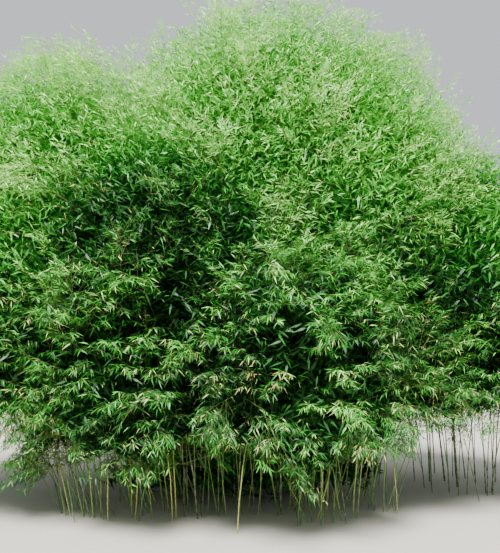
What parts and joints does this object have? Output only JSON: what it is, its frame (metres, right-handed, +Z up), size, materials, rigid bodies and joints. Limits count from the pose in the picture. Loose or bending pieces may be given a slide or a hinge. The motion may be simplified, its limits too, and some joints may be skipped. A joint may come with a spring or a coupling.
{
  "type": "bamboo clump",
  "caption": "Large bamboo clump rooted in open ground: slim arching canes, bare at the foot, that end in dense leafy plumes.",
  "frame": {"origin": "middle of the level cut under the main cane, at ground level", "axes": "+Z up; -Y towards the side that the clump is seen from, where its front row of canes shows; +X to the right from there"},
  "size_m": [8.5637, 4.8696, 6.5648],
  "materials": {
    "cane": "satin olive-green bamboo skin",
    "leaves": "fresh green leaves with a faint sheen"
  },
  "bodies": {
    "root": {"cane_01": "cane", "plume_01": "leaves", "cane_02": "cane", "plume_02": "leaves", "cane_03": "cane", "plume_03": "leaves", "cane_04": "cane", "plume_04": "leaves", "cane_05": "cane", "plume_05": "leaves", "cane_06": "cane", "plume_06": "leaves", "cane_07": "cane", "plume_07": "leaves", "cane_08": "cane", "plume_08": "leaves", "cane_09": "cane", "plume_09": "leaves", "cane_10": "cane", "plume_10": "leaves", "cane_11": "cane", "plume_11": "leaves", "cane_12": "cane", "plume_12": "leaves", "cane_13": "cane", "plume_13": "leaves", "cane_14": "cane", "plume_14": "leaves", "cane_15": "cane", "plume_15": "leaves", "cane_16": "cane", "plume_16": "leaves", "cane_17": "cane", "plume_17": "leaves", "cane_18": "cane", "plume_18": "leaves", "cane_19": "cane", "plume_19": "leaves", "cane_20": "cane", "plume_20": "leaves", "cane_21": "cane", "plume_21": "leaves", "cane_22": "cane", "plume_22": "leaves", "cane_23": "cane", "plume_23": "leaves", "cane_24": "cane", "plume_24": "leaves", "cane_25": "cane", "plume_25": "leaves", "cane_26": "cane", "plume_26": "leaves", "cane_27": "cane", "plume_27": "leaves", "cane_28": "cane", "plume_28": "leaves", "cane_29": "cane", "plume_29": "leaves", "cane_30": "cane", "plume_30": "leaves"}
  },
  "joints": []
}
